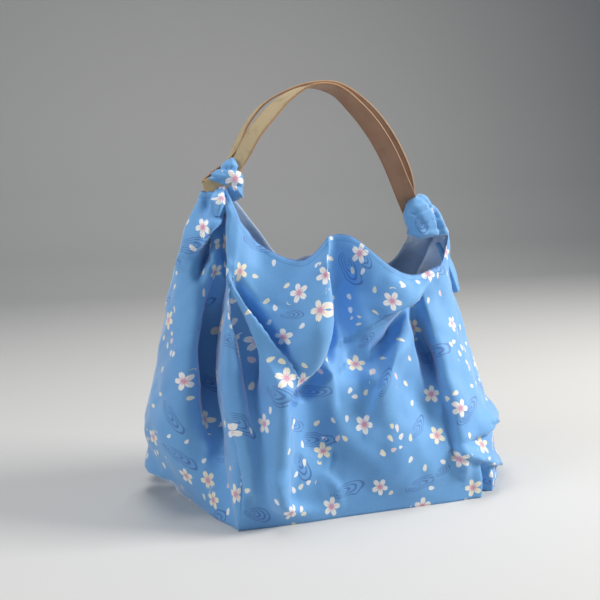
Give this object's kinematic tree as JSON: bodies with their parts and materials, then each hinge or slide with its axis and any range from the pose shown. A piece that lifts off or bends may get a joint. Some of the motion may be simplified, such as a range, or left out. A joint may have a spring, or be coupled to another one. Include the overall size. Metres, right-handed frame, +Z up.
{
  "type": "furoshiki wrap",
  "caption": "Square printed cloth tied into an open carrying bag, its corners knotted round the ends of a doubled leather strap.",
  "frame": {"origin": "middle of the flat base, on the ground", "axes": "+X along the front of the bag to its right end as seen from the front, +Y to its back, +Z up"},
  "size_m": [0.4706, 0.25, 0.5161],
  "materials": {
    "printed_cotton": "soft matte weave with a printed pattern",
    "strap_leather": "undyed vegetable-tanned leather, smooth grain"
  },
  "bodies": {
    "root": {"cloth": "printed_cotton", "strap": "strap_leather"}
  },
  "joints": []
}
